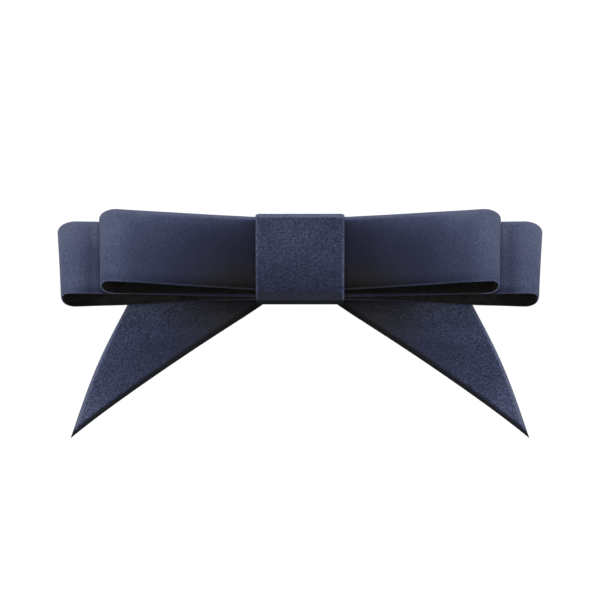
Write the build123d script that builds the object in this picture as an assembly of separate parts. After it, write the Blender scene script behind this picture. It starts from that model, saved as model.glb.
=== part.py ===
from build123d import *
import os
from math import cos, hypot, radians, sin

# Two-tier tailored gift bow of suede-faced ribbon, ready made on a stick-on foam pad.
# All sizes are millimetres. X runs along the loops, -Y is the side that the tails point
# to, and Z points out of the bow's face. The origin is the centre of the stick-on side,
# on the surface that the bow lies on, so every piece is above Z = 0.

# Ribbon: one stock for loops, knot and tails
RIBBON_WIDTH = 25.0
SUEDE = 0.30
BACKING = 0.25
RIBBON = SUEDE + BACKING

# Stick-on pad, from the bottom up
LINER = 0.10
FILM = 0.10
FOAM = 1.45
CARD = 0.60
GLUE = 0.12
PAD_LENGTH = 20.0
PAD_WIDTH = 18.0
CARD_SIDE = 22.0
LINER_TAB = 4.0

# Loops: half lengths, and the heights of their outer ends
FRONT_HALF_LENGTH = 56.2
REAR_HALF_LENGTH = 68.0
FRONT_END_TOP = 14.15
FRONT_END_BOTTOM = 7.85
REAR_END_TOP = 7.90
REAR_END_BOTTOM = 1.45
LOOP_END_RADIUS = 2.95
PINCH_RADIUS = 6.0
FRONT_PINCHED_TOP = 10.05
LOOP_CLEARANCE = 1.10

# Lap joint where the two ends of a loop's ribbon overlap
LAP_HALF_LENGTH = 8.0
LAP_STEP_START = 12.0
LAP_STEP_END = 9.8
LAP_STEP_RADIUS = 1.5
GLUE_PATCH_WIDTH = 20.0

# Knot band round the middle of the loops
KNOT_HALF_WIDTH = RIBBON_WIDTH / 2
KNOT_HALF_DEPTH = 13.45
KNOT_TOP = 10.75
KNOT_CORNER_RADIUS = 1.2
KNOT_SEAM_GAP = 0.2

# Tails: each is a straight strip that leaves the knot at an angle and ends in a long
# slanting cut. S is the distance from the bow's centre along the strip, N is across it.
TAIL_ANGLE = 39.8
TAIL_INNER_N = -2.6
TAIL_OUTER_N = TAIL_INNER_N + RIBBON_WIDTH
TAIL_BEND_S = 19.0
TAIL_BEND_GAP = 0.1
TAIL_TIP_S = 85.8
TAIL_CUT_S = 43.4
TAIL_CUT_BULGE = 1.1
TAIL_INNER_ARCH = 1.7
TAIL_OUTER_ARCH = 0.1
TAIL_ROOT_FAR_Y = 12.0

# Heights that follow from the stack of layers
FOAM_Z = LINER + FILM
CARD_Z = FOAM_Z + FOAM + FILM
TAIL_Z = CARD_Z + CARD + GLUE
KNOT_Z = TAIL_Z + RIBBON + GLUE
REAR_LAP_Z = KNOT_Z + RIBBON + GLUE
REAR_BOTTOM_Z = REAR_LAP_Z + RIBBON + GLUE
REAR_TOP_Z = REAR_BOTTOM_Z + 2 * RIBBON + LOOP_CLEARANCE
FRONT_BOTTOM_Z = REAR_TOP_Z + GLUE

# How far each layer lies below the ribbon's outer surface
LAYERS = {"face": (0.0, SUEDE), "backing": (SUEDE, RIBBON)}


def offset_corners(points, distance):
    """Move an open run of straight lines to the left of its direction of travel."""
    normals = []
    for (x0, y0), (x1, y1) in zip(points, points[1:]):
        length = hypot(x1 - x0, y1 - y0)
        normals.append((-(y1 - y0) / length, (x1 - x0) / length))
    moved = []
    for index, (x, y) in enumerate(points):
        before = normals[max(index - 1, 0)]
        after = normals[min(index, len(normals) - 1)]
        mitre = 1 + before[0] * after[0] + before[1] * after[1]
        moved.append(
            (
                x + distance * (before[0] + after[0]) / mitre,
                y + distance * (before[1] + after[1]) / mitre,
            )
        )
    return moved


def left_turns(points):
    """Say at each inner corner whether the run turns left."""
    turns = []
    for (x0, y0), (x1, y1), (x2, y2) in zip(points, points[1:], points[2:]):
        turns.append((x1 - x0) * (y2 - y1) - (y1 - y0) * (x2 - x1) > 0)
    return turns


def offset_run(points, bend_radii, distance):
    """Round the corners of a run, and move it to the left by a distance."""
    moved_radii = []
    for bend_radius, left in zip(bend_radii, left_turns(points)):
        moved_radii.append(bend_radius - distance if left else bend_radius + distance)
    return FilletPolyline(*offset_corners(points, distance), radius=moved_radii)


def layer_face(points, bend_radii, layer):
    """Section of one layer of a bent ribbon whose outer surface follows the run."""
    shallow, deep = LAYERS[layer]
    outside = offset_run(points, bend_radii, shallow)
    inside = offset_run(points, bend_radii, deep)
    first_end = Line(outside @ 0, inside @ 0)
    last_end = Line(outside @ 1, inside @ 1)
    return make_face([*outside.edges(), *inside.edges(), first_end, last_end])


def loop_layer(layer, half_length, end_bottom, end_top, bottom_z, top_z, lap_step):
    """One layer of a flattened loop: pinched at the middle, with its ends lapped there."""
    run = [
        (-LAP_HALF_LENGTH, bottom_z),
        (KNOT_HALF_WIDTH, bottom_z),
        (half_length, end_bottom),
        (half_length, end_top),
        (KNOT_HALF_WIDTH, top_z),
        (-KNOT_HALF_WIDTH, top_z),
        (-half_length, end_top),
        (-half_length, end_bottom),
        (-LAP_STEP_START, bottom_z),
        (-LAP_STEP_END, bottom_z + lap_step),
        (LAP_HALF_LENGTH, bottom_z + lap_step),
    ]
    bend_radii = [
        PINCH_RADIUS,
        LOOP_END_RADIUS,
        LOOP_END_RADIUS,
        PINCH_RADIUS,
        PINCH_RADIUS,
        LOOP_END_RADIUS,
        LOOP_END_RADIUS,
        LAP_STEP_RADIUS,
        LAP_STEP_RADIUS,
    ]
    section = Plane.XZ * layer_face(run, bend_radii, layer)
    return extrude(section, amount=RIBBON_WIDTH / 2, both=True)


def front_loop(layer):
    """Shorter loop on top; the end of its ribbon is lapped inside the loop."""
    return loop_layer(
        layer,
        FRONT_HALF_LENGTH,
        FRONT_END_BOTTOM,
        FRONT_END_TOP,
        FRONT_BOTTOM_Z,
        FRONT_PINCHED_TOP,
        RIBBON + GLUE,
    )


def rear_loop(layer):
    """Longer loop underneath; the end of its ribbon is lapped under the loop."""
    return loop_layer(
        layer,
        REAR_HALF_LENGTH,
        REAR_END_BOTTOM,
        REAR_END_TOP,
        REAR_BOTTOM_Z,
        REAR_TOP_Z,
        -(RIBBON + GLUE),
    )


def knot_band(layer):
    """Band wrapped once round the loops; its ends meet on the underside."""
    run = [
        (KNOT_SEAM_GAP / 2, KNOT_Z),
        (KNOT_HALF_DEPTH, KNOT_Z),
        (KNOT_HALF_DEPTH, KNOT_TOP),
        (-KNOT_HALF_DEPTH, KNOT_TOP),
        (-KNOT_HALF_DEPTH, KNOT_Z),
        (-KNOT_SEAM_GAP / 2, KNOT_Z),
    ]
    bend_radii = [KNOT_CORNER_RADIUS] * 4
    section = Plane.YZ * layer_face(run, bend_radii, layer)
    return extrude(section, amount=KNOT_HALF_WIDTH, both=True)


def tail_plane(across):
    """Upright plane along the left tail, at a distance across it: local X is S, Y is Z."""
    angle = radians(TAIL_ANGLE)
    along = Vector(-cos(angle), -sin(angle), 0)
    side = Vector(-sin(angle), cos(angle), 0)
    return Plane(origin=side * across, x_dir=along, z_dir=side)


def tail_edge_section(across, arch, low, high):
    """Section of a tail layer at one edge of the strip, falling in an arc to the tip."""
    start_s = TAIL_BEND_S + TAIL_BEND_GAP
    middle = ((start_s + TAIL_TIP_S) / 2, TAIL_Z / 2 + arch)
    bottom = ThreePointArc((start_s, TAIL_Z + low), (middle[0], middle[1] + low), (TAIL_TIP_S, low))
    top = ThreePointArc((start_s, TAIL_Z + high), (middle[0], middle[1] + high), (TAIL_TIP_S, high))
    ends = [Line(bottom @ 0, top @ 0), Line(bottom @ 1, top @ 1)]
    return tail_plane(across) * make_face([*bottom.edges(), *top.edges(), *ends])


def tail_plan_face():
    """Plan of the free tail: a strip with one long, slightly rounded slanting cut."""
    start_s = TAIL_BEND_S + TAIL_BEND_GAP
    tip = Vector(TAIL_TIP_S, TAIL_INNER_N)
    hidden_corner = Vector(TAIL_CUT_S, TAIL_OUTER_N)
    cut = hidden_corner - tip
    outward = Vector(-cut.Y, cut.X).normalized() * -TAIL_CUT_BULGE
    cut_edge = ThreePointArc(tip, (tip + hidden_corner) / 2 + outward, hidden_corner)
    straight = Polyline(hidden_corner, (start_s, TAIL_OUTER_N), (start_s, TAIL_INNER_N), tip)
    return make_face([*cut_edge.edges(), *straight.edges()])


def plan_to_tail(shape):
    """Lay a plan drawn in (S, N) on the left tail's direction."""
    angle = radians(TAIL_ANGLE)
    along = (-cos(angle), -sin(angle), 0)
    return Plane(origin=(0, 0, -1), x_dir=along, z_dir=(0, 0, -1)) * shape


def heights(layer):
    """Lowest and highest level of a layer in a strip that lies face up."""
    shallow, deep = LAYERS[layer]
    return RIBBON - deep, RIBBON - shallow


def left_tail(layer):
    """Free part of the left tail, beyond the line that it bends along."""
    low, high = heights(layer)
    inner = tail_edge_section(TAIL_INNER_N, TAIL_INNER_ARCH, low, high)
    outer = tail_edge_section(TAIL_OUTER_N, TAIL_OUTER_ARCH, low, high)
    strip = loft([inner, outer], ruled=True)
    cutter = extrude(plan_to_tail(tail_plan_face()), amount=-20)
    return strip & cutter


def left_tail_root(layer):
    """Part of the left tail that is glued under the knot and trimmed on the centre line."""
    low, high = heights(layer)
    strip = make_face(
        Polyline(
            (-60, TAIL_INNER_N),
            (TAIL_BEND_S, TAIL_INNER_N),
            (TAIL_BEND_S, TAIL_OUTER_N),
            (-60, TAIL_OUTER_N),
            close=True,
        ).edges()
    )
    slab = extrude(plan_to_tail(strip), amount=-20)
    room = Pos(-40 - KNOT_SEAM_GAP / 2, TAIL_ROOT_FAR_Y - 40, TAIL_Z + (low + high) / 2)
    return slab & room * Box(80, 80, high - low)


def flat_patch(length, width, low, high):
    """Rectangular film or board centred on the bow."""
    return Pos(0, 0, (low + high) / 2) * Box(length, width, high - low)


def release_liner():
    """Paper under the pad, with a tab on the far side to peel it by."""
    tab = Pos(0, LINER_TAB / 2, 0)
    return tab * flat_patch(PAD_LENGTH, PAD_WIDTH + LINER_TAB, 0, LINER)


def save(name, shape):
    """Write one sub-part as its own STEP file."""
    shape.label = name
    export_step(shape, f"parts/{name}.step")


def main():
    os.makedirs("parts", exist_ok=True)
    for layer in LAYERS:
        save(f"front_loop_{layer}", front_loop(layer))
        save(f"rear_loop_{layer}", rear_loop(layer))
        save(f"knot_band_{layer}", knot_band(layer))
        save(f"left_tail_{layer}", left_tail(layer))
        save(f"right_tail_{layer}", mirror(left_tail(layer), about=Plane.YZ))
        save(f"left_tail_root_{layer}", left_tail_root(layer))
        save(f"right_tail_root_{layer}", mirror(left_tail_root(layer), about=Plane.YZ))

    lap = 2 * LAP_HALF_LENGTH
    front_lap_z = FRONT_BOTTOM_Z + RIBBON
    rear_lap_z = REAR_BOTTOM_Z - GLUE
    save("front_loop_lap_glue", flat_patch(lap, GLUE_PATCH_WIDTH, front_lap_z, front_lap_z + GLUE))
    save("rear_loop_lap_glue", flat_patch(lap, GLUE_PATCH_WIDTH, rear_lap_z, rear_lap_z + GLUE))
    save("loop_stack_glue", flat_patch(lap, GLUE_PATCH_WIDTH, REAR_TOP_Z, REAR_TOP_Z + GLUE))
    save("knot_glue", flat_patch(lap, GLUE_PATCH_WIDTH, KNOT_Z + RIBBON, REAR_LAP_Z))
    save("tail_glue", flat_patch(CARD_SIDE, CARD_SIDE, TAIL_Z + RIBBON, KNOT_Z))
    save("card_glue", flat_patch(PAD_LENGTH, PAD_WIDTH, CARD_Z + CARD, TAIL_Z))

    save("backing_card", flat_patch(CARD_SIDE, CARD_SIDE, CARD_Z, CARD_Z + CARD))
    save("pad_upper_adhesive", flat_patch(PAD_LENGTH, PAD_WIDTH, CARD_Z - FILM, CARD_Z))
    save("foam_pad", flat_patch(PAD_LENGTH, PAD_WIDTH, FOAM_Z, FOAM_Z + FOAM))
    save("pad_lower_adhesive", flat_patch(PAD_LENGTH, PAD_WIDTH, LINER, FOAM_Z))
    save("release_liner", release_liner())


main()
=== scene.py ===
import math

import bmesh
import bpy
import numpy as np
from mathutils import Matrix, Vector


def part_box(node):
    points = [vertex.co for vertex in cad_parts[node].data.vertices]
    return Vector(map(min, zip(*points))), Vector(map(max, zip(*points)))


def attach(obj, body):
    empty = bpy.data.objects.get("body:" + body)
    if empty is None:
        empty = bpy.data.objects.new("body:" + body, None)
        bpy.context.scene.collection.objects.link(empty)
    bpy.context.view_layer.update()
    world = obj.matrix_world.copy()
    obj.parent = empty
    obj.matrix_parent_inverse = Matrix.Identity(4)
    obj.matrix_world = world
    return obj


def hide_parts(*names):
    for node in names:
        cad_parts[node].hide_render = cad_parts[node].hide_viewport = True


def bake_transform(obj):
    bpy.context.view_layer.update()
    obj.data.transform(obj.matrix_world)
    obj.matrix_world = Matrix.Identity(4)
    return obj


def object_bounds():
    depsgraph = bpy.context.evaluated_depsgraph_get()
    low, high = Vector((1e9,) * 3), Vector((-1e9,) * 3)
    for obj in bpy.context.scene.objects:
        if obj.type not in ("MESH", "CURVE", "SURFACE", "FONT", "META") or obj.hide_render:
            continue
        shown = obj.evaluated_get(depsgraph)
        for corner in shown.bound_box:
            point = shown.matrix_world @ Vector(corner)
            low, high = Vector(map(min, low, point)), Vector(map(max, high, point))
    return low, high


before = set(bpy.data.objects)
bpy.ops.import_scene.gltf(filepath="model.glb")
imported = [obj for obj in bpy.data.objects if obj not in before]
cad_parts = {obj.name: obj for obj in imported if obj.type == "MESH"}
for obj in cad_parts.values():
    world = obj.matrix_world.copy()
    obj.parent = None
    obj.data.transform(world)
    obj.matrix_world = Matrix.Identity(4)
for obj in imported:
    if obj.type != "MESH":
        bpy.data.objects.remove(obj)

# A navy suede gift bow, lying face up on its stick-on pad. Everything is in metres, in the
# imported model's frame: X along the loops, -Y towards the tails' side, Z out of the face.

CAD_LOW, CAD_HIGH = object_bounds()
MM = 0.001

# ---------------------------------------------------------------- sizes from the frame

FRONT_LOW, FRONT_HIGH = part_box("front_loop_face")
REAR_END_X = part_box("rear_loop_face")[1].x
KNOT_LOW, KNOT_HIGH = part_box("knot_band_face")

RIBBON_WIDTH = FRONT_HIGH.y - FRONT_LOW.y
SUEDE = 0.30 * MM
RIBBON = 0.55 * MM
GLUE = 0.12 * MM
PINCH_X = KNOT_HIGH.x

# A loop's ends overlap this far each side of the centre, under the knot, and the end that
# lies on the other, or under it, steps clear of it between the next two places
LAP_X = 8.0 * MM
LAP_STEP_START_X = -12.0 * MM
LAP_STEP_END_X = -9.8 * MM

# Corners of a loop's path, and half the height of its end
END_LOWER_RADIUS = 2.5 * MM
END_UPPER_RADIUS = 3.3 * MM
PANEL_RADIUS = 30.0 * MM
PINCH_LOWER_RADIUS = 1.5 * MM
PINCH_UPPER_RADIUS = 6.0 * MM
END_HALF_HEIGHT = 2.95 * MM

# Corners of the knot band: round the loops, and where it turns under on the near side
KNOT_RADIUS = 1.3 * MM
KNOT_UNDER_RADIUS = 1.0 * MM

# Rolled edge of the suede, and the rounded lower edge of the backing
ROLL_WIDTH = 0.80 * MM
ROLL_DEPTH = 0.20 * MM
BACKING_ROUND = 0.06 * MM
EDGE_WRAP = 0.08 * MM

# How bright a full white level surface comes out under these lights, and the display
# level, out of 255, that the top of the painted light and shade stands for
LIGHT_LEVEL = 1.05
FULL_LEVEL = 150.0

# Display levels of the backing, and of the painted highlight strips on the far edges
LINING_LEVEL = 66.0
LOOP_HIGHLIGHT_STRIP_LEVEL = 112
KNOT_HIGHLIGHT_STRIP_LEVEL = 116

# Cells a metre of the nap's grain, of its tufts and of its cloudy patches
NAP_CELLS = 2300
TUFT_CELLS = 1650
CLOUD_CELLS = 75

# Surfaces that meet at more than this keep a sharp edge
SHARP_ANGLE = math.radians(50)

# Tails: S runs along the strip from the bow's centre, N across it
TAIL_ANGLE = math.radians(39.8)
TAIL_INNER_N = -2.6 * MM
TAIL_BEND_S = 19.0 * MM
TAIL_TIP_S = 85.8 * MM
TAIL_CUT_S = 43.4 * MM
TAIL_CUT_BULGE = 1.1 * MM
TAIL_CUT_LENGTH = math.hypot(TAIL_TIP_S - TAIL_CUT_S, RIBBON_WIDTH)
TAIL_INNER_ARCH = 1.95 * MM
TAIL_OUTER_ARCH = 0.1 * MM
TAIL_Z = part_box("left_tail_root_backing")[0].z

# A tail's root is trimmed beside the bow's centre line and at the loops' far edge
ROOT_GAP = 0.12 * MM
ROOT_FAR_Y = 11.9 * MM

# Camera: orthographic, square to the bow; how much its picture takes in and where it aims
CAMERA_ELEVATION = math.radians(54.4)
CAMERA_WIDTH = 0.16816
CAMERA_AIM_Y = -9.24 * MM
CAMERA_DISTANCE = 1.5


# ---------------------------------------------------------------- curves and surfaces


def smooth_step(value, low, high):
    """0 below low, 1 above high, and a smooth rise between."""
    t = np.clip((value - low) / (high - low), 0, 1)
    return t * t * (3 - 2 * t)


def smooth_fall(value, low, high):
    """1 below low, 0 above high, and a smooth fall between."""
    return smooth_step(-value, -high, -low)


def spaced(points, step):
    """The same line with its points about one step apart."""
    gaps = np.linalg.norm(np.diff(points, axis=0), axis=1)
    along = np.concatenate([[0], np.cumsum(gaps)])
    places = np.linspace(0, along[-1], int(math.ceil(along[-1] / step)) + 1)
    return np.stack([np.interp(places, along, points[:, axis]) for axis in range(2)], axis=1)


def rounded_run(corners, radii, step, blur):
    """A run of straight lines with rounded corners, evened out so its curvature is soft."""
    corners = np.array(corners, float)
    points = [corners[0]]
    for before, corner, after, radius in zip(corners, corners[1:], corners[2:], radii):
        back = (before - corner) / np.linalg.norm(before - corner)
        ahead = (after - corner) / np.linalg.norm(after - corner)
        half = math.acos(float(np.clip(back @ ahead, -1, 1))) / 2
        middle = (back + ahead) / np.linalg.norm(back + ahead)
        centre = corner + middle * radius / math.sin(half)
        reach = radius / math.tan(half)
        first = math.atan2(*(corner + back * reach - centre)[::-1])
        last = math.atan2(*(corner + ahead * reach - centre)[::-1])
        turn = (last - first + math.pi) % (2 * math.pi) - math.pi
        for share in np.linspace(0, 1, 25):
            angle = first + turn * share
            points.append(centre + radius * np.array([math.cos(angle), math.sin(angle)]))
    points.append(corners[-1])
    line = spaced(np.array(points), step)
    reach = int(3 * blur / step)
    kernel = np.exp(-0.5 * (np.arange(-reach, reach + 1) * step / blur) ** 2)
    kernel /= kernel.sum()
    padded = np.concatenate(
        [
            2 * line[0] - line[reach:0:-1],
            line,
            2 * line[-1] - line[-2 : -reach - 2 : -1],
        ]
    )
    return np.stack([np.convolve(padded[:, axis], kernel, "valid") for axis in range(2)], axis=1)


def across_samples():
    """Places across the ribbon: close together on the rolled edges."""
    edge = ROLL_WIDTH * (1 - np.cos(np.linspace(0, math.pi / 2, 9)))
    middle = np.linspace(ROLL_WIDTH, RIBBON_WIDTH - ROLL_WIDTH, 27)[1:-1]
    return np.concatenate([edge, middle, (RIBBON_WIDTH - edge)[::-1]]) - RIBBON_WIDTH / 2


ACROSS = across_samples()


def roll(distance):
    """How far the suede's surface drops at a distance from the ribbon's edge."""
    t = np.clip(1 - distance / ROLL_WIDTH, 0, 1)
    return ROLL_DEPTH * (1 - np.sqrt(1 - t * t))


def surface_normals(points, flip):
    """Unit normals of a grid of points."""
    normals = np.cross(np.gradient(points, axis=1), np.gradient(points, axis=0))
    if flip:
        normals = -normals
    return normals / np.linalg.norm(normals, axis=2, keepdims=True)


def add_object(name, data):
    """New object in the scene."""
    thing = bpy.data.objects.new(name, data)
    bpy.context.scene.collection.objects.link(thing)
    return thing


def smooth_piece(name, mesh):
    """New object of a mesh that is shaded smooth between its sharp edges."""
    mesh.polygons.foreach_set("use_smooth", [True] * len(mesh.polygons))
    mesh.set_sharp_from_angle(angle=SHARP_ANGLE)
    return add_object(name, mesh)


def strip_mesh(name, points, normals, top_depth, bottom_depth):
    """Closed mesh of one ribbon layer between two depths under a grid of surface points."""
    rows, columns = points.shape[:2]
    top = (points - normals * top_depth[..., None]).reshape(-1, 3)
    bottom = (points - normals * bottom_depth[..., None]).reshape(-1, 3)
    index = np.arange(rows * columns).reshape(rows, columns)
    under = index + rows * columns

    def quads(a, b, c, d):
        return np.stack([a, b, c, d], axis=-1).reshape(-1, 4)

    faces = [
        quads(index[:-1, :-1], index[:-1, 1:], index[1:, 1:], index[1:, :-1]),
        quads(under[:-1, :-1], under[1:, :-1], under[1:, 1:], under[:-1, 1:]),
    ]
    for first, second in (
        (index[0], under[0]),
        (index[-1], under[-1]),
        (index[:, 0], under[:, 0]),
        (index[:, -1], under[:, -1]),
    ):
        faces.append(quads(first[:-1], first[1:], second[1:], second[:-1]))
    mesh = bpy.data.meshes.new(name)
    mesh.from_pydata(np.concatenate([top, bottom]).tolist(), [], np.concatenate(faces).tolist())
    clean = bmesh.new()
    clean.from_mesh(mesh)
    bmesh.ops.remove_doubles(clean, verts=clean.verts, dist=0.004 * MM)
    bmesh.ops.recalc_face_normals(clean, faces=clean.faces)
    clean.to_mesh(mesh)
    clean.free()
    return smooth_piece(name, mesh)


def set_value(piece, attribute_name, value_at):
    """Store a value between 0 and 1 at each point, from a function of the places."""
    mesh = piece.data
    places = np.zeros(len(mesh.vertices) * 3)
    mesh.vertices.foreach_get("co", places)
    layer = mesh.attributes.new(attribute_name, "FLOAT", "POINT")
    value = np.clip(value_at(places.reshape(-1, 3)), 0, 1)
    layer.data.foreach_set("value", value.astype(np.float32))


def set_tone_and_painted_light(piece, tone_and_light_at):
    """Store the level at each point, from a function that gives display levels: the nap's or
    backing's own level, with any painted light and shade.
    """
    set_value(piece, "tone_and_painted_light", lambda places: tone_and_light_at(places) / FULL_LEVEL)


def ribbon_pieces(name, points, flip, edge_distance):
    """The suede and the backing of one ribbon, from its outer surface."""
    normals = surface_normals(points, flip)
    rolled = roll(edge_distance)
    seam = SUEDE + EDGE_WRAP * smooth_fall(edge_distance, 0, 0.5 * MM)
    under = RIBBON - BACKING_ROUND * smooth_fall(edge_distance, 0, BACKING_ROUND * 2)
    suede = strip_mesh(f"{name}_suede", points, normals, rolled, seam)
    backing = strip_mesh(f"{name}_lining", points, normals, seam, under)
    return suede, backing


# ---------------------------------------------------------------- materials


def node_material(name):
    """New material with a Principled shader; returns it with its nodes and links."""
    material = bpy.data.materials.new(name)
    material.use_nodes = True
    tree = material.node_tree
    return material, tree.nodes, tree.links, tree.nodes["Principled BSDF"]


def noise(nodes, links, coordinates, scale, detail, roughness=0.55):
    """Noise texture on object coordinates; scale is in cells a metre."""
    texture = nodes.new("ShaderNodeTexNoise")
    texture.inputs["Scale"].default_value = scale
    texture.inputs["Detail"].default_value = detail
    texture.inputs["Roughness"].default_value = roughness
    links.new(coordinates, texture.inputs["Vector"])
    return texture.outputs["Fac"]


def mapped(nodes, links, value, low, high, to_low, to_high):
    """A value stretched from one range to another."""
    node = nodes.new("ShaderNodeMapRange")
    node.inputs["From Min"].default_value = low
    node.inputs["From Max"].default_value = high
    node.inputs["To Min"].default_value = to_low
    node.inputs["To Max"].default_value = to_high
    links.new(value, node.inputs["Value"])
    return node.outputs["Result"]


def spread(nodes, links, value, to_low, to_high):
    """A noise texture's usual range stretched to another range."""
    return mapped(nodes, links, value, 0.3, 0.7, to_low, to_high)


def stored_value(nodes, name):
    """A value that set_value stored at the mesh's points."""
    node = nodes.new("ShaderNodeAttribute")
    node.attribute_name = name
    return node.outputs["Fac"]


def calculated(nodes, links, operation, first, second):
    """Math on two values, each a socket or a number."""
    node = nodes.new("ShaderNodeMath")
    node.operation = operation
    for socket, value in zip(node.inputs, (first, second)):
        if isinstance(value, (int, float)):
            socket.default_value = value
        else:
            links.new(value, socket)
    return node.outputs["Value"]


def colour_ramp(nodes, links, value, stops):
    """Colour by value through (place, (r, g, b)) stops, in rising order of place."""
    node = nodes.new("ShaderNodeValToRGB")
    elements = node.color_ramp.elements
    for (place, colour), element in zip(stops, (elements[0], elements[1])):
        element.position = place
        element.color = (*colour, 1)
    for place, colour in stops[2:]:
        element = elements.new(place)
        element.color = (*colour, 1)
    links.new(value, node.inputs["Fac"])
    return node.outputs["Color"]


def bump(nodes, links, shader, height, strength, distance):
    """Bump from a height onto a shader."""
    node = nodes.new("ShaderNodeBump")
    node.inputs["Strength"].default_value = strength
    node.inputs["Distance"].default_value = distance
    links.new(height, node.inputs["Height"])
    links.new(node.outputs["Normal"], shader.inputs["Normal"])


def dyed(colour):
    """Surface colour that comes out as a display colour, 0 to 255, under these lights."""
    linear = []
    for part in colour:
        share = part / 255
        value = share / 12.92 if share < 0.04045 else ((share + 0.055) / 1.055) ** 2.4
        linear.append(value / LIGHT_LEVEL)
    return tuple(linear)


def suede_material(name, grain_share, shade_grain_share, shade_colour):
    """Napped navy suede: fine mottled grain, coloured by the painted light and shade at its
    points.

    grain_share is how far the grain changes the level; the second share is how much of that is
    left on the darkest painted shade, and the colour argument is the display colour of that shade.
    """
    material, nodes, links, shader = node_material(name)
    coordinates = nodes.new("ShaderNodeTexCoord").outputs["Object"]
    # The nap's level with its painted light and shade, stored at the points
    painted_tone = stored_value(nodes, "tone_and_painted_light")
    fine = noise(nodes, links, coordinates, NAP_CELLS, 1.5, 0.6)
    tufts = noise(nodes, links, coordinates, TUFT_CELLS, 1.0)
    clouds = noise(nodes, links, coordinates, CLOUD_CELLS, 2.0)
    fine_grain = spread(nodes, links, fine, -1, 1)
    tuft_grain = spread(nodes, links, tufts, -0.6, 0.6)
    grain = calculated(nodes, links, "ADD", fine_grain, tuft_grain)
    # The grain fades on painted shade, down to the given share on the darkest
    low, high = 30 / FULL_LEVEL, 60 / FULL_LEVEL
    shade_grain = mapped(nodes, links, painted_tone, low, high, shade_grain_share, 1)
    grain = calculated(nodes, links, "MULTIPLY", grain, grain_share)
    grain = calculated(nodes, links, "MULTIPLY", grain, shade_grain)
    patches = spread(nodes, links, clouds, -0.05, 0.05)
    grain = calculated(nodes, links, "ADD", grain, patches)
    share = calculated(nodes, links, "ADD", grain, 1.0)
    value = calculated(nodes, links, "MULTIPLY", painted_tone, share)
    # Colours by display level, from the deepest painted shade up to the painted highlights; level
    # 34 is the colour of painted shade
    stops = []
    for level, display_colour in (
        (0, (0, 0, 1)),
        (15, (14, 14, 15)),
        (34, shade_colour),
        (52, (46, 50, 73)),
        (80, (71, 78, 106)),
        (106, (97, 104, 130)),
        (150, (104, 110, 134)),
    ):
        stops.append((level / FULL_LEVEL, dyed(display_colour)))
    colour = colour_ramp(nodes, links, value, stops)
    # Painted shade goes grey where the stored grey value says so, as the shadow by the knot does
    grey = nodes.new("ShaderNodeRGBToBW")
    links.new(colour, grey.inputs["Color"])
    mixed = nodes.new("ShaderNodeMix")
    mixed.data_type = "RGBA"
    links.new(stored_value(nodes, "painted_shade_grey"), mixed.inputs["Factor"])
    links.new(colour, mixed.inputs["A"])
    links.new(grey.outputs["Val"], mixed.inputs["B"])
    links.new(mixed.outputs["Result"], shader.inputs["Base Color"])
    links.new(spread(nodes, links, tufts, 0.82, 0.96), shader.inputs["Roughness"])
    shader.inputs["Specular IOR Level"].default_value = 0.10
    shader.inputs["Sheen Weight"].default_value = 0.08
    shader.inputs["Sheen Roughness"].default_value = 0.45
    shader.inputs["Sheen Tint"].default_value = (0.60, 0.66, 0.90, 1)
    tuft_height = calculated(nodes, links, "MULTIPLY", tufts, 0.8)
    height = calculated(nodes, links, "ADD", fine, tuft_height)
    bump(nodes, links, shader, height, 0.8, 0.20 * MM)
    return material


def woven_material(name, low, high, threads):
    """Close weave of the ribbon's backing, between two colours; threads sets how fine it is."""
    material, nodes, links, shader = node_material(name)
    coordinates = nodes.new("ShaderNodeTexCoord").outputs["Object"]
    heights = []
    for direction in ("X", "Y"):
        wave = nodes.new("ShaderNodeTexWave")
        wave.bands_direction = direction
        wave.inputs["Scale"].default_value = threads
        wave.inputs["Distortion"].default_value = 0.6
        wave.inputs["Detail"].default_value = 1.0
        links.new(coordinates, wave.inputs["Vector"])
        heights.append(wave.outputs["Fac"])
    weave = calculated(nodes, links, "MULTIPLY", heights[0], heights[1])
    mottle = noise(nodes, links, coordinates, 400, 2.0)
    half_weave = calculated(nodes, links, "MULTIPLY", weave, 0.5)
    value = calculated(nodes, links, "ADD", half_weave, mottle)
    # The backing's own level, with the painted light and shade of the loops' backing
    value = calculated(nodes, links, "MULTIPLY", value, stored_value(nodes, "tone_and_painted_light"))
    colour = colour_ramp(nodes, links, value, [(0.10, low), (0.55, high)])
    links.new(colour, shader.inputs["Base Color"])
    links.new(spread(nodes, links, mottle, 0.85, 0.98), shader.inputs["Roughness"])
    shader.inputs["Specular IOR Level"].default_value = 0.15
    bump(nodes, links, shader, weave, 0.4, 0.1 * MM)
    return material


def speckled_material(name, low, high, cells, rough, bumps, specular=0.3, see_through=0.0):
    """Mottled board, paper, foam or film, between two colours; bumps is their height."""
    material, nodes, links, shader = node_material(name)
    coordinates = nodes.new("ShaderNodeTexCoord").outputs["Object"]
    spots = noise(nodes, links, coordinates, cells, 4.0, 0.65)
    patches = noise(nodes, links, coordinates, cells / 9, 2.0)
    both = calculated(nodes, links, "ADD", spots, patches)
    value = calculated(nodes, links, "MULTIPLY", both, 0.5)
    colour = colour_ramp(nodes, links, value, [(0.35, low), (0.65, high)])
    links.new(colour, shader.inputs["Base Color"])
    roughness = spread(nodes, links, spots, rough - 0.08, rough + 0.08)
    links.new(roughness, shader.inputs["Roughness"])
    shader.inputs["Specular IOR Level"].default_value = specular
    shader.inputs["Transmission Weight"].default_value = see_through
    bump(nodes, links, shader, spots, 0.5, bumps)
    return material


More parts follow.
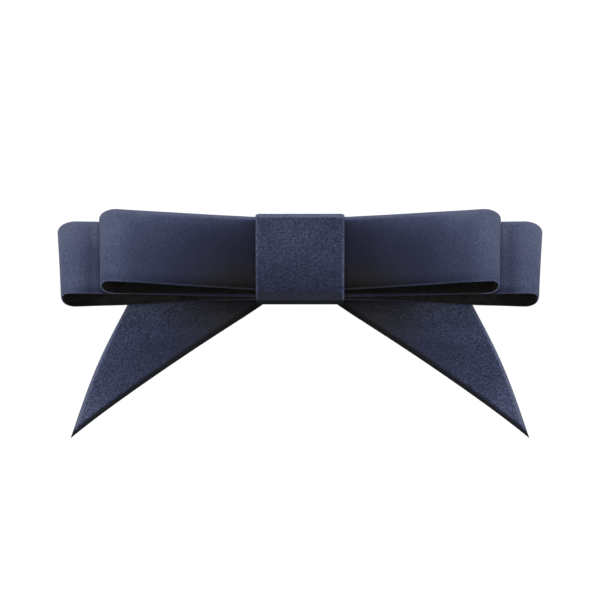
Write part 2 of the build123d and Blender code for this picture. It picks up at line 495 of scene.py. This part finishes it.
# One suede in three copies: more grain on the knot and the tails, and each with its own colour of
# painted shade
LOOP_SUEDE = suede_material("navy_suede", 0.12, 0.4, (31, 32, 50))
KNOT_SUEDE = suede_material("navy_suede_knot", 0.28, 0.9, (31, 32, 47))
TAIL_SUEDE = suede_material("navy_suede_tail", 0.30, 0.4, (32, 33, 39))
LINING = woven_material("black_backing", (0.005, 0.005, 0.0047), (0.040, 0.040, 0.038), 900)


def dress(piece, material):
    """Give a piece its material."""
    piece.data.materials.clear()
    piece.data.materials.append(material)


# ---------------------------------------------------------------- camera


def make_camera():
    """View without perspective, from in front and above, square to the bow."""
    data = bpy.data.cameras.new("camera")
    data.type = "ORTHO"
    data.ortho_scale = CAMERA_WIDTH
    data.clip_start = 0.01
    data.clip_end = 20
    camera = add_object("camera", data)
    back = Vector((0, -math.cos(CAMERA_ELEVATION), math.sin(CAMERA_ELEVATION)))
    camera.location = Vector((0, CAMERA_AIM_Y, 0)) + back * CAMERA_DISTANCE
    camera.rotation_mode = "QUATERNION"
    camera.rotation_quaternion = (-back).to_track_quat("-Z", "Y")
    bpy.context.scene.camera = camera


make_camera()

# ---------------------------------------------------------------- loops


def loop_points(half_length, bottom, end_bottom, end_top, top_z, lap_step, twist, narrower, leans):
    """Outer surface of a flattened loop of ribbon, pinched under the knot.

    bottom is the lower panel's corners from the pinch outwards, as (x, z). twist is how much
    higher the near edge is at the pinch, and narrower how much shorter the loop is there.
    leans is how far the end leans out at its top, at the near edge and at the far one.
    """
    lower = [(PINCH_X, bottom[0][1]), *bottom[1:], (half_length, end_bottom)]
    upper = [(half_length, end_top), (PINCH_X, top_z)]
    right = [*lower, *upper]
    left = [(-x, z) for x, z in reversed(right)]
    ends = [
        (LAP_STEP_START_X, bottom[0][1]),
        (LAP_STEP_END_X, bottom[0][1] + lap_step),
        (LAP_X, bottom[0][1] + lap_step),
    ]
    corners = [(-LAP_X, bottom[0][1]), *right, *left[:-1], *ends]
    radii = []
    for x, z in corners[1:-1]:
        if abs(x) >= half_length:
            radii.append(END_LOWER_RADIUS if z == end_bottom else END_UPPER_RADIUS)
        elif abs(x) > PINCH_X:
            radii.append(PANEL_RADIUS)
        else:
            radii.append(PINCH_LOWER_RADIUS if z != top_z else PINCH_UPPER_RADIUS)
    path = rounded_run(corners, radii, step=0.3 * MM, blur=0.7 * MM)
    x, z = path[:, :1], path[:, 1:]
    middle = (end_bottom + end_top) / 2
    share = ACROSS / (RIBBON_WIDTH / 2)
    at_end = smooth_step(abs(x), half_length - 12 * MM, half_length - 3 * MM)
    lean = leans[0] + (leans[1] - leans[0]) * (share + 1) / 2
    swing = np.sqrt(END_HALF_HEIGHT**2 + lean**2) - END_HALF_HEIGHT
    height = (z - middle) / END_HALF_HEIGHT
    shift = lean * height - swing - narrower * (1 - share) / 2
    full_x = x + np.sign(x) * at_end * shift
    upper_panel = smooth_step(z, middle - 1 * MM, middle + 1 * MM)
    near_pinch = smooth_fall(abs(x), PINCH_X, 40 * MM)
    far_out = smooth_step(abs(x), 26 * MM, 48 * MM)
    end_rise = 0.40 * MM * (1 - share) / 2 * far_out * upper_panel
    full_z = z - twist * share * near_pinch * upper_panel + end_rise
    full_y = np.broadcast_to(ACROSS, full_x.shape)
    return np.stack([full_x, full_y, full_z], axis=2)


def edge_distances(points):
    """Distance to the nearest long edge of a straight-sided ribbon."""
    return np.broadcast_to(RIBBON_WIDTH / 2 - abs(ACROSS), points.shape[:2])


def near_edge_shade_and_highlight(distance):
    """Change of level at a distance from a near edge: painted shade, with a thin painted highlight
    on the edge itself.
    """
    shade = -10 * smooth_fall(distance, 0.4 * MM, 4.5 * MM)
    return shade + 13 * smooth_fall(distance, 0.1 * MM, 0.35 * MM)


def far_edge_painted_light(distance, level, painted_glow):
    """Level near a far edge: a painted pool of light that fades inwards, and a painted highlight
    strip on the edge.
    """
    with_painted_glow = level + painted_glow * np.exp(-distance / (3.2 * MM))
    return with_painted_glow + (LOOP_HIGHLIGHT_STRIP_LEVEL - with_painted_glow) * smooth_fall(distance, 0.7 * MM, 1.0 * MM)


def end_rim_highlight(x, z, distance, start_x, top_z):
    """Painted highlight on the near edge of a loop's end, below top_z, where the end turns under.
    """
    on_end = smooth_step(x, start_x, start_x + 3 * MM) * smooth_fall(z, top_z - 2 * MM, top_z)
    return 40 * on_end * smooth_fall(distance, 0.3 * MM, 1.0 * MM)


def front_loop_painted_light(places):
    """Levels of the front loop: painted shade by the knot, painted light at its ends and its far
    edge, and painted highlight and shade along its near edge.
    """
    x, y, z = abs(places[:, 0]), places[:, 1], places[:, 2]
    from_far, from_near = RIBBON_WIDTH / 2 - y, RIBBON_WIDTH / 2 + y
    # Painted shade: darker towards the knot and the near edge; painted light towards the ends
    level = 35.5 + 1.03 * (np.clip(x, 13 * MM, 60 * MM) / MM - 14.5) + 0.4 * y / MM
    level = level + 17 * smooth_step(x, 45.5 * MM, 53 * MM) - 5 * smooth_fall(x, 34 * MM, 46 * MM)
    # Painted pool of light along the far edge, less by the ends and the knot
    painted_glow = 42 - 36 * smooth_step(x, 44 * MM, 52 * MM) - 18 * smooth_fall(x, 13 * MM, 18 * MM)
    level = far_edge_painted_light(from_far, level, painted_glow) + near_edge_shade_and_highlight(from_near)
    level = level + end_rim_highlight(x, z, from_near, 51 * MM, 10.5 * MM)
    # Painted highlight on the near edge, with a band of painted shade inside it, away from the
    # ends
    rim_highlight = smooth_fall(from_near, 0.15 * MM, 0.45 * MM)
    groove_shade = smooth_fall(from_near, 0.9 * MM, 1.6 * MM) * (1 - rim_highlight)
    level = level + (9 * rim_highlight - 5 * groove_shade) * smooth_fall(x, 34 * MM, 44 * MM)
    # Painted shade on the lower run, short of the end
    lower = smooth_fall(z, 8.8 * MM, 9.6 * MM) * smooth_fall(x, 50 * MM, 54 * MM)
    return level * (1 - 0.5 * lower * (1 - rim_highlight))


def rear_loop_painted_light(places):
    """Levels of the rear loop, which shows most beyond the front loop's ends: painted light and
    shade, with painted shadows of the front loop.
    """
    x, y, z = abs(places[:, 0]), places[:, 1], places[:, 2]
    from_far, from_near = RIBBON_WIDTH / 2 - y, RIBBON_WIDTH / 2 + y
    upper = np.maximum(smooth_step(z, 3.0 * MM, 4.4 * MM), smooth_step(x, 62 * MM, 65 * MM))
    # Painted shade towards the knot, painted light towards the ends
    level = 40 + 32 * smooth_step(x, 20 * MM, 55 * MM) + 23 * smooth_step(x, 55 * MM, 65 * MM)
    # Painted light that lifts the shadow beside the front loop's end
    level = level * (1 + 0.28 * smooth_fall(x, 56.8 * MM, 59.5 * MM) * upper)
    level = far_edge_painted_light(from_far, level + 0.4 * y / MM, 14.0)
    level = level + 0.6 * near_edge_shade_and_highlight(from_near)
    # Painted shadow of the front loop beside its end and at the near corner
    shadow_beside_front = smooth_fall(x, 57.5 * MM, 62 * MM) * smooth_fall(y, 1 * MM, 9 * MM)
    near_corner_shade = smooth_fall(x, 57.5 * MM, 65.5 * MM) * smooth_fall(y, -11.2 * MM, -9.5 * MM)
    level = level * (1 - (0.13 * shadow_beside_front + 0.20 * near_corner_shade) * upper)
    level = level + end_rim_highlight(x, z, from_near, 62.5 * MM, 5.0 * MM)
    # Painted shadow under the front loop's near edge, and painted shade on the lower panel
    shadow_under_front = smooth_fall(x, 54 * MM, 56 * MM) * smooth_fall(y, -12.2 * MM, -11.6 * MM)
    shadow_under_front = shadow_under_front * smooth_step(z, 5.4 * MM, 6.2 * MM)
    level = level * (1 - 0.45 * shadow_under_front) * (0.7 + 0.3 * upper)
    # Painted highlight on the near edge, away from the ends
    rim_highlight = smooth_fall(from_near, 0.15 * MM, 0.5 * MM)
    return level + (20 + 5 * upper) * rim_highlight * smooth_fall(x, 34 * MM, 50 * MM)


def front_loop_shade_grey(places):
    """How grey the front loop's painted shade is: its blue fades by the knot, towards the near
    edge.
    """
    by_knot = smooth_fall(abs(places[:, 0]), 16 * MM, 36 * MM)
    return 0.85 * by_knot * smooth_fall(places[:, 1], -10 * MM, 0)


def rear_loop_shade_grey(places):
    """The rear loop has no grey painted shade: it keeps its blue all over."""
    return np.zeros(len(places))


def plain_lining_tone(places):
    """Levels of the band's and the tails' backing: the same all over."""
    return np.full(len(places), LINING_LEVEL)


def front_lining_painted_shade(places):
    """Levels of the front loop's backing: painted shade on the lower panel towards the near edge.
    """
    y, z = places[:, 1], places[:, 2]
    # Painted shade on the lower panel, towards the near edge
    lower = smooth_fall(z, 8.2 * MM, 9.2 * MM)
    return LINING_LEVEL * (1 - 0.3 * lower * smooth_fall(y, -11.5 * MM, -2 * MM))


def rear_lining_painted_light(places):
    """Levels of the rear loop's backing: painted light towards the knot, painted shade at its
    lower edge.
    """
    x, y, z = abs(places[:, 0]), places[:, 1], places[:, 2]
    # Painted light towards the knot, and painted shade at the lower edge
    level = LINING_LEVEL + 50 * smooth_fall(x, 53 * MM, 58 * MM)
    level = level + 34 * smooth_fall(x, 18 * MM, 30 * MM)
    lower_edge_shade = smooth_fall(y, -12.1 * MM, -11.3 * MM) * smooth_fall(z, 5.0 * MM, 5.4 * MM)
    return level * (1 - 0.4 * lower_edge_shade)


def make_loop(name, points, tone_and_light_at, shade_grey_at, lining_painted_light_at):
    """Both layers of a loop, on the bow's body."""
    suede, lining = ribbon_pieces(name, points, False, edge_distances(points))
    set_tone_and_painted_light(suede, tone_and_light_at)
    set_value(suede, "painted_shade_grey", shade_grey_at)
    set_tone_and_painted_light(lining, lining_painted_light_at)
    dress(suede, LOOP_SUEDE)
    dress(lining, LINING)
    for piece, node in ((suede, f"{name}_face"), (lining, f"{name}_backing")):
        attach(piece, "bow")
        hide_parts(node)


front_points = loop_points(
    half_length=FRONT_HIGH.x,
    bottom=[(PINCH_X, FRONT_LOW.z), (28 * MM, 7.04 * MM), (42 * MM, 7.32 * MM)],
    end_bottom=7.56 * MM,
    end_top=14.05 * MM,
    top_z=9.85 * MM,
    lap_step=RIBBON + GLUE,
    twist=0.20 * MM,
    narrower=0.0,
    leans=(0.9 * MM, -0.9 * MM),
)
rear_points = loop_points(
    half_length=REAR_END_X - 0.15 * MM,
    bottom=[(PINCH_X, 4.48 * MM), (28 * MM, 3.87 * MM), (50 * MM, 1.78 * MM)],
    end_bottom=1.00 * MM,
    end_top=7.80 * MM,
    top_z=6.68 * MM,
    lap_step=-(RIBBON + GLUE),
    twist=0.0,
    narrower=0.75 * MM,
    leans=(0.9 * MM, -1.0 * MM),
)
make_loop(
    "front_loop",
    front_points,
    front_loop_painted_light,
    front_loop_shade_grey,
    front_lining_painted_shade,
)
make_loop(
    "rear_loop",
    rear_points,
    rear_loop_painted_light,
    rear_loop_shade_grey,
    rear_lining_painted_light,
)

# ---------------------------------------------------------------- knot band


def knot_points():
    """Outer surface of the band, once round the loops from seam to seam."""
    depth = KNOT_HIGH.y
    seam = 0.1 * MM
    low, high = KNOT_LOW.z - 0.15 * MM, KNOT_HIGH.z
    far_side = [(seam, low), (depth, low), (depth, high)]
    near_side = [(-depth, high), (-depth, low), (-seam, low)]
    radii = [KNOT_RADIUS, KNOT_RADIUS, KNOT_RADIUS, KNOT_UNDER_RADIUS]
    path = rounded_run(far_side + near_side, radii, step=0.2 * MM, blur=0.2 * MM)
    y, z = path[:, :1], path[:, 1:]
    width_share = 1 - 0.007 * smooth_fall(y, -depth, depth)
    width_share = width_share - 0.032 * smooth_step(y, 12.3 * MM, 13.3 * MM)
    crown = 0.12 * MM * (np.minimum(y, 0) / depth) ** 2 * smooth_step(z, high - 1 * MM, high)
    full_x = ACROSS * width_share
    full_y = np.broadcast_to(y, full_x.shape)
    full_z = np.broadcast_to(z - crown, full_x.shape)
    return np.stack([full_x, full_y, full_z], axis=2)


def knot_painted_light(places):
    """Levels of the knot: painted light at the far side, painted shade to the near one and
    underneath, with painted highlights on its sides.
    """
    x, y, z = places.T
    near = y < 0
    # Painted shade: darker from the far side to the near one and a little right of the middle,
    # dark on the near wall and underneath
    level = 66 - 1.25 * np.clip(3 - y / MM, 0, 16)
    level = level - 5 * smooth_step(x, 1 * MM, 6 * MM) * smooth_step(y, -3 * MM, 4 * MM)
    level = level * (1 - 0.96 * smooth_fall(z, 4.5 * MM, 6.4 * MM) * near)
    level = level - 11 * smooth_fall(z, 9.2 * MM, 10.2 * MM) * near
    level = level * (1 - 0.3 * smooth_fall(z, 3.8 * MM, 4.6 * MM))
    # Painted highlight on the near corner, and a painted highlight strip on the far edge
    corner = smooth_fall(y, -13.2 * MM, -12.6 * MM) * smooth_step(z, 9.4 * MM, 10.0 * MM)
    level = level + 3 * corner
    strip = smooth_step(y, 11.3 * MM, 11.8 * MM)
    level = level + (KNOT_HIGHLIGHT_STRIP_LEVEL - level) * strip
    # Painted highlights on the sides, stronger on the right
    side = smooth_step(abs(x), RIBBON_WIDTH / 2 - 0.9 * MM, RIBBON_WIDTH / 2 - 0.4 * MM)
    more_highlight_on_right = 6 + 12 * smooth_fall(z, 9.3 * MM, 10.3 * MM)
    rim_highlight = 22 + more_highlight_on_right * smooth_fall(y, -2 * MM, 2 * MM) * (x > 0)
    return level + rim_highlight * side * (1 - strip) * smooth_step(z, 5.0 * MM, 6.0 * MM)


def make_knot():
    """Both layers of the knot band."""
    points = knot_points()
    suede, lining = ribbon_pieces("knot_band", points, True, edge_distances(points))
    set_tone_and_painted_light(suede, knot_painted_light)
    set_tone_and_painted_light(lining, plain_lining_tone)
    dress(suede, KNOT_SUEDE)
    dress(lining, LINING)
    for piece, node in ((suede, "knot_band_face"), (lining, "knot_band_backing")):
        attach(piece, "bow")
        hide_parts(node)


make_knot()

# ---------------------------------------------------------------- tails


def tail_place(s, n, z, side):
    """Points of a tail from strip coordinates; side is -1 for the left and 1 for the right."""
    x = side * (s * math.cos(TAIL_ANGLE) + n * math.sin(TAIL_ANGLE))
    y = -s * math.sin(TAIL_ANGLE) + n * math.cos(TAIL_ANGLE)
    return np.stack(np.broadcast_arrays(x, y, z), axis=2)


def cut_place(share):
    """S of the slanting cut at a share of the ribbon's width; it bulges most above its middle."""
    straight = TAIL_TIP_S + (TAIL_CUT_S - TAIL_TIP_S) * share
    bulge = TAIL_CUT_BULGE * np.clip(4 * share * (1 - share), 0, 1) ** 1.5 * (0.65 + 0.7 * share)
    return straight + bulge * TAIL_CUT_LENGTH / RIBBON_WIDTH


def tail_points(side):
    """Upper surface of a whole tail, the distances to its edges, and how long the strip is."""
    outer_n = TAIL_INNER_N + RIBBON_WIDTH
    n = ACROSS[None, :] + (TAIL_INNER_N + outer_n) / 2
    share = (n - TAIL_INNER_N) / RIBBON_WIDTH
    cut_s = cut_place(share)
    centre_s = -n * math.tan(TAIL_ANGLE) + ROOT_GAP
    far_s = (n * math.cos(TAIL_ANGLE) - ROOT_FAR_Y) / math.sin(TAIL_ANGLE)
    root_s = np.maximum(centre_s, far_s)
    even_rows = np.linspace(0, 0.965, 190)
    closing_rows = 1 - 0.035 * (1 - np.linspace(0, 1, 16)[1:]) ** 1.6
    rows = np.concatenate([even_rows, closing_rows])
    s = root_s + (cut_s - root_s) * rows[:, None]
    t = np.clip((s - TAIL_BEND_S) / (TAIL_TIP_S - TAIL_BEND_S), 0, 1)
    arch = TAIL_INNER_ARCH + (TAIL_OUTER_ARCH - TAIL_INNER_ARCH) * np.clip(share, 0, 1) ** 0.6
    lift = 4 * arch * t * (1 - t) * smooth_step(t, -0.05, 0.12)
    droop = TAIL_Z * (1 - t * smooth_step(t, -0.1, 0.15))
    z = droop + lift + RIBBON
    to_cut = (cut_s - s) * RIBBON_WIDTH / TAIL_CUT_LENGTH
    to_sides = np.minimum(n - TAIL_INNER_N, outer_n - n)
    nearest = np.minimum(to_cut, np.broadcast_to(to_sides, s.shape))
    spread = 0.45 * MM * (1 - t) ** 1.5 * (1 - share)
    tuck = 0.30 * MM * 15 * t**5 * (1 - t) * (1 - share) ** 4
    points = tail_place(s, n - spread + tuck, z, side)
    return points, nearest, float(s.max() - s.min())


def strip_place(places, side):
    """S and N of points of a tail, with N counted from the tail's inner edge."""
    x, y = side * places[:, 0], places[:, 1]
    s = x * math.cos(TAIL_ANGLE) - y * math.sin(TAIL_ANGLE)
    n = x * math.sin(TAIL_ANGLE) + y * math.cos(TAIL_ANGLE) - TAIL_INNER_N
    return s, n


def tail_painted_light(places, side):
    """Levels of a tail: painted shade by the knot and along its inner edge, painted highlight at
    its cut edge.
    """
    x, y = side * places[:, 0], places[:, 1]
    s, n = strip_place(places, side)
    # Painted shade towards the knot, painted light towards the tip and the outer edge
    level = 31 + 0.72 * (np.clip(s, 16 * MM, 90 * MM) / MM - 20)
    level = level + 15 * smooth_step(s, 64 * MM, 82 * MM) + 4 * smooth_step(n, 8 * MM, 14 * MM)
    # Painted light that lifts the shadow of the loops
    fill_light_by_loops = 0.7 * smooth_step(y, -20.5 * MM, -14 * MM)
    fill_light_by_loops = fill_light_by_loops + 0.25 * smooth_step(y, -27 * MM, -22 * MM)
    level = level * (1 + fill_light_by_loops * (0.42 + 0.28 * smooth_step(x, 28 * MM, 40 * MM)))
    # Painted shade along the inner edge
    along = np.clip((s - 30 * MM) / (50 * MM), 0, 1)
    start, end = (0.35 + 0.35 * along) * MM, (1.25 + 0.6 * along) * MM
    level = level * (1 - (0.5 + 0.14 * along) * (1 - smooth_step(n, start, end)))
    # Painted highlight along the cut edge
    to_cut = (cut_place(n / RIBBON_WIDTH) - s) * RIBBON_WIDTH / TAIL_CUT_LENGTH
    rim_highlight = 82 - 28 * smooth_step(s, 66 * MM, 78 * MM)
    rim_highlight = rim_highlight * smooth_step(n, 0.3 * MM, 1.5 * MM)
    return level + rim_highlight * smooth_fall(to_cut, 0.3 * MM, 1.25 * MM)


def tail_shade_grey(places, side):
    """How grey a tail's painted shade is: its blue fades towards the knot."""
    return 0.8 * smooth_fall(strip_place(places, side)[0], 24 * MM, 46 * MM)


def make_tail(word, side):
    """One tail: both layers, with their places baked into their meshes."""
    points, nearest, length = tail_points(side)
    suede, lining = ribbon_pieces(f"{word}_tail", points, side > 0, nearest)
    set_tone_and_painted_light(suede, lambda places: tail_painted_light(places, side))
    set_value(suede, "painted_shade_grey", lambda places: tail_shade_grey(places, side))
    set_tone_and_painted_light(lining, plain_lining_tone)
    dress(suede, TAIL_SUEDE)
    dress(lining, LINING)
    for piece, layer in ((suede, "face"), (lining, "backing")):
        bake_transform(piece)
        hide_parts(f"{word}_tail_{layer}", f"{word}_tail_root_{layer}")


make_tail("left", -1)
make_tail("right", 1)

# ---------------------------------------------------------------- pad and glue

CARD = speckled_material(
    "grey_board", (0.26, 0.25, 0.23), (0.40, 0.38, 0.35), cells=900, rough=0.85, bumps=0.08 * MM
)
FOAM = speckled_material(
    "white_foam", (0.62, 0.62, 0.60), (0.80, 0.80, 0.78), cells=2200, rough=0.9, bumps=0.15 * MM
)
LINER = speckled_material(
    "release_paper", (0.78, 0.76, 0.70), (0.86, 0.85, 0.80), cells=500, rough=0.42, bumps=0.02 * MM
)
TACKY = speckled_material(
    "tacky_film",
    (0.70, 0.70, 0.68),
    (0.80, 0.80, 0.78),
    cells=300,
    rough=0.25,
    bumps=0.03 * MM,
    specular=0.5,
    see_through=0.3,
)
HOT_GLUE = speckled_material(
    "hot_glue",
    (0.60, 0.52, 0.36),
    (0.74, 0.67, 0.50),
    cells=260,
    rough=0.30,
    bumps=0.1 * MM,
    specular=0.5,
    see_through=0.3,
)


def rounded_outline(half_x, half_y, corner, wander, seed):
    """Points round a rectangle with rounded corners; wander makes its edge uneven."""
    points = []
    for quarter, (sign_x, sign_y) in enumerate(((1, 1), (-1, 1), (-1, -1), (1, -1))):
        for share in np.linspace(0, 1, 9):
            angle = (quarter + share) * math.pi / 2
            centre = np.array([sign_x * (half_x - corner), sign_y * (half_y - corner)])
            points.append(centre + corner * np.array([math.cos(angle), math.sin(angle)]))
    points.append(points[0])
    outline = spaced(np.array(points), 0.5 * MM)[:-1]
    turn = np.linspace(0, 2 * math.pi, len(outline), endpoint=False)
    wave = np.zeros(len(outline))
    for order in (3, 5, 8, 13):
        wave += np.sin(order * turn + seed * (order + 1.7)) / order
    return outline * (1 - wander * (0.5 + 0.5 * wave[:, None] / abs(wave).max()))


def slab(name, node, corner, edge, waist, wander, seed, lift=None):
    """Closed form that fills a CAD node's box: rounded plan, rounded rims, sides drawn in.

    edge is the rounding of the upper and lower rims, waist how far the sides are drawn in
    half way up, and lift a function of the place that says how far it is raised there.
    """
    low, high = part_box(node)
    centre = (low + high) / 2
    half_x, half_y = (high.x - low.x) / 2, (high.y - low.y) / 2
    outline = rounded_outline(half_x, half_y, corner, wander, seed)
    tall = high.z - low.z
    flat_shares = (0.02, 0.25, 0.5, 0.75, 0.9)
    rings = [(share, 0.0, low.z) for share in flat_shares]
    for angle in np.linspace(0, math.pi / 2, 5):
        rings.append((1.0, edge * (1 - math.sin(angle)), low.z + edge * (1 - math.cos(angle))))
    for height in np.linspace(0, 1, 9)[1:-1]:
        drawn_in = waist * math.sin(math.pi * height)
        rings.append((1.0, drawn_in, low.z + edge + (tall - 2 * edge) * height))
    for angle in np.linspace(math.pi / 2, 0, 5):
        rings.append((1.0, edge * (1 - math.sin(angle)), high.z - edge * (1 - math.cos(angle))))
    rings.extend((share, 0.0, high.z) for share in reversed(flat_shares))
    vertices = []
    reach = np.linalg.norm(outline, axis=1, keepdims=True)
    for share, drawn_in, z in rings:
        plan = outline * share * (1 - drawn_in / reach)
        for x, y in plan:
            raised = lift(x, y) if lift else 0.0
            vertices.append((centre.x + x, centre.y + y, z + raised))
    count = len(outline)
    faces = [tuple(reversed(range(count)))]
    for ring in range(len(rings) - 1):
        for index in range(count):
            after = (index + 1) % count
            first, second = ring * count, (ring + 1) * count
            faces.append((first + index, first + after, second + after, second + index))
    last = (len(rings) - 1) * count
    faces.append(tuple(range(last, last + count)))
    mesh = bpy.data.meshes.new(name)
    mesh.from_pydata(vertices, [], faces)
    return smooth_piece(name, mesh)


def tab_lift(x, y):
    """The liner's finger tab curls up a little, clear of the pad."""
    return 0.5 * MM * float(smooth_step(y, 8.2 * MM, 11 * MM))


# The nodes of each kind of form, with its material and slot, then in millimetres its plan's
# corner radius, its rims' rounding and how far its sides are drawn in, and last the share by
# which its outline wanders
FORMS = (
    (
        (
            "front_loop_lap_glue",
            "rear_loop_lap_glue",
            "loop_stack_glue",
            "knot_glue",
            "tail_glue",
            "card_glue",
        ),
        (HOT_GLUE, "glue", 2.0, 0.05, 0.0, 0.06),
    ),
    (("pad_upper_adhesive", "pad_lower_adhesive"), (TACKY, "pad_adhesive", 0.5, 0.03, 0.0, 0.004)),
    (("backing_card",), (CARD, "card", 0.6, 0.06, 0.0, 0.003)),
    (("foam_pad",), (FOAM, "foam", 0.6, 0.10, 0.35, 0.006)),
    (("release_liner",), (LINER, "liner_paper", 1.5, 0.02, 0.0, 0.0)),
)


def make_form(node, kind, seed):
    """One form of the pad or the glue; the liner rides on its own body, the rest on the bow's."""
    material, slot, corner, edge, waist, wander = kind
    is_liner = node == "release_liner"
    lift = tab_lift if is_liner else None
    piece = slab(f"{node}_piece", node, corner * MM, edge * MM, waist * MM, wander, seed, lift)
    dress(piece, material)
    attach(piece, "liner" if is_liner else "bow")
    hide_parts(node)


forms_made = 0
for form_nodes, form_kind in FORMS:
    for form_node in form_nodes:
        forms_made += 1
        make_form(form_node, form_kind, float(forms_made))

# ---------------------------------------------------------------- floor and lights


def stage_material(name, grey, strength, specular):
    """Plain grey material that gives off white light."""
    material, _, _, shader = node_material(name)
    shader.inputs["Base Color"].default_value = (grey, grey, grey, 1)
    shader.inputs["Emission Color"].default_value = (1, 1, 1, 1)
    shader.inputs["Emission Strength"].default_value = strength
    shader.inputs["Roughness"].default_value = 0.9
    shader.inputs["Specular IOR Level"].default_value = specular
    return material


def make_floor():
    """Pale floor that lights the bow from below; the camera sees the white studio instead."""
    side = 3.0
    z = CAD_LOW.z - 0.02 * MM
    corners = [(-side, -side, z), (side, -side, z), (side, side, z), (-side, side, z)]
    mesh = bpy.data.meshes.new("floor")
    mesh.from_pydata(corners, [], [(0, 1, 2, 3)])
    mesh.materials.append(stage_material("pale_floor", 0.20, 1.02, 0.1))
    floor = add_object("floor", mesh)
    floor.visible_camera = False


def softbox(name, place, size, power):
    """Square area light that points at the bow."""
    data = bpy.data.lights.new(name, "AREA")
    data.shape = "SQUARE"
    data.size = size
    data.energy = power
    light = add_object(name, data)
    light.location = place
    light.rotation_mode = "QUATERNION"
    light.rotation_quaternion = (-Vector(place)).to_track_quat("-Z", "Y")


def make_backdrop():
    """White studio all round, seen by the camera and casting neither light nor shadow."""
    mesh = bpy.data.meshes.new("backdrop")
    ball = bmesh.new()
    bmesh.ops.create_uvsphere(ball, u_segments=48, v_segments=24, radius=4.2)
    ball.to_mesh(mesh)
    ball.free()
    mesh.materials.append(stage_material("white_studio", 0.0, 1.05, 0.0))
    backdrop = add_object("backdrop", mesh)
    backdrop.visible_diffuse = False
    backdrop.visible_glossy = False
    backdrop.visible_transmission = False
    backdrop.visible_shadow = False


make_floor()
make_backdrop()
softbox("back_light", (0.0, 0.55, 0.75), 0.5, 3.2)
softbox("left_light", (-0.75, 0.1, 0.45), 0.4, 1.2)
softbox("right_light", (0.75, 0.1, 0.45), 0.4, 1.2)
softbox("front_light", (0.0, -0.80, 0.45), 0.5, 2.0)

world = bpy.data.worlds.new("studio")
world.use_nodes = True
world.node_tree.nodes["Background"].inputs["Color"].default_value = (1, 1, 1, 1)
world.node_tree.nodes["Background"].inputs["Strength"].default_value = 0.40
bpy.context.scene.world = world
bpy.context.scene.view_settings.view_transform = "Standard"
